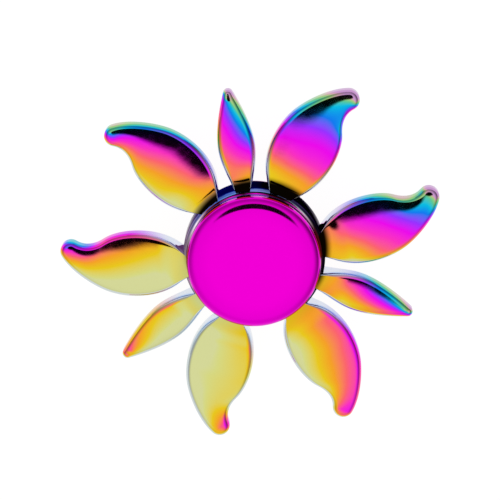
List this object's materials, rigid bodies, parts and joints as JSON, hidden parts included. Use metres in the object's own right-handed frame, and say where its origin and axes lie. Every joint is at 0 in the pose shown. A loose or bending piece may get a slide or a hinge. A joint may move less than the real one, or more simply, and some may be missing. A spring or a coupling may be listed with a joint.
{
  "type": "fidget spinner",
  "caption": "Flower-shaped metal fidget spinner: a petalled cast rotor on a shielded ball bearing between two round finger caps.",
  "frame": {"origin": "centre of the lower finger cap's flat face, on the spin axis", "axes": "+Z is the spin axis and points out of the upper finger cap; +Y runs along one of the three narrow petals, which is also a mirror plane of the rotor; +X completes the right hand"},
  "size_m": [0.0716, 0.066, 0.0152],
  "materials": {
    "rainbow_plating": "mirror-like thin-film plating whose colour runs from pale gold through orange, magenta and purple to blue and green",
    "magenta_plating": "smooth glossy magenta plating",
    "bearing_steel": "ground and polished bearing steel",
    "cage_steel": "pressed steel sheet, satin",
    "shield_steel": "pressed steel sheet, satin",
    "spring_steel": "dark drawn steel wire",
    "black_steel": "black oxide"
  },
  "bodies": {
    "grip": {"upper_cap": "magenta_plating", "lower_cap": "magenta_plating", "cap_stud": "black_steel", "bearing_inner_ring": "bearing_steel"},
    "rotor": {"flower_body": "rainbow_plating", "bearing_outer_ring": "bearing_steel", "upper_shield": "shield_steel", "lower_shield": "shield_steel", "upper_snap_ring": "spring_steel", "lower_snap_ring": "spring_steel"},
    "ball_cage": {"cage_upper_half": "cage_steel", "cage_lower_half": "cage_steel", "cage_rivet_1": "spring_steel", "cage_rivet_2": "spring_steel", "cage_rivet_3": "spring_steel", "cage_rivet_4": "spring_steel", "cage_rivet_5": "spring_steel", "cage_rivet_6": "spring_steel", "cage_rivet_7": "spring_steel"},
    "ball_1": {"ball_1": "bearing_steel"},
    "ball_2": {"ball_2": "bearing_steel"},
    "ball_3": {"ball_3": "bearing_steel"},
    "ball_4": {"ball_4": "bearing_steel"},
    "ball_5": {"ball_5": "bearing_steel"},
    "ball_6": {"ball_6": "bearing_steel"},
    "ball_7": {"ball_7": "bearing_steel"}
  },
  "joints": [
    {"name": "rotor_spin", "type": "hinge", "parent": "grip", "child": "rotor", "pos_m": [0, 0, 0.0076], "axis": [0, 0, 1], "continuous": true},
    {"name": "cage_orbit", "type": "hinge", "parent": "grip", "child": "ball_cage", "pos_m": [0, 0, 0.0076], "axis": [0, 0, 1], "continuous": true},
    {"name": "ball_1_roll", "type": "hinge", "parent": "ball_cage", "child": "ball_1", "pos_m": [0, 0.0075, 0.0076], "axis": [0, 0, 1], "continuous": true},
    {"name": "ball_2_roll", "type": "hinge", "parent": "ball_cage", "child": "ball_2", "pos_m": [-0.00586, 0.00468, 0.0076], "axis": [0, 0, 1], "continuous": true},
    {"name": "ball_3_roll", "type": "hinge", "parent": "ball_cage", "child": "ball_3", "pos_m": [-0.00731, -0.00167, 0.0076], "axis": [0, 0, 1], "continuous": true},
    {"name": "ball_4_roll", "type": "hinge", "parent": "ball_cage", "child": "ball_4", "pos_m": [-0.00325, -0.00676, 0.0076], "axis": [0, 0, 1], "continuous": true},
    {"name": "ball_5_roll", "type": "hinge", "parent": "ball_cage", "child": "ball_5", "pos_m": [0.00325, -0.00676, 0.0076], "axis": [0, 0, 1], "continuous": true},
    {"name": "ball_6_roll", "type": "hinge", "parent": "ball_cage", "child": "ball_6", "pos_m": [0.00731, -0.00167, 0.0076], "axis": [0, 0, 1], "continuous": true},
    {"name": "ball_7_roll", "type": "hinge", "parent": "ball_cage", "child": "ball_7", "pos_m": [0.00586, 0.00468, 0.0076], "axis": [0, 0, 1], "continuous": true}
  ],
  "couplings": [
    {"joint": "cage_orbit", "follows": "rotor_spin", "ratio": 0.6323},
    {"joint": "ball_1_roll", "follows": "rotor_spin", "ratio": 1.7573},
    {"joint": "ball_2_roll", "follows": "rotor_spin", "ratio": 1.7573},
    {"joint": "ball_3_roll", "follows": "rotor_spin", "ratio": 1.7573},
    {"joint": "ball_4_roll", "follows": "rotor_spin", "ratio": 1.7573},
    {"joint": "ball_5_roll", "follows": "rotor_spin", "ratio": 1.7573},
    {"joint": "ball_6_roll", "follows": "rotor_spin", "ratio": 1.7573},
    {"joint": "ball_7_roll", "follows": "rotor_spin", "ratio": 1.7573}
  ]
}
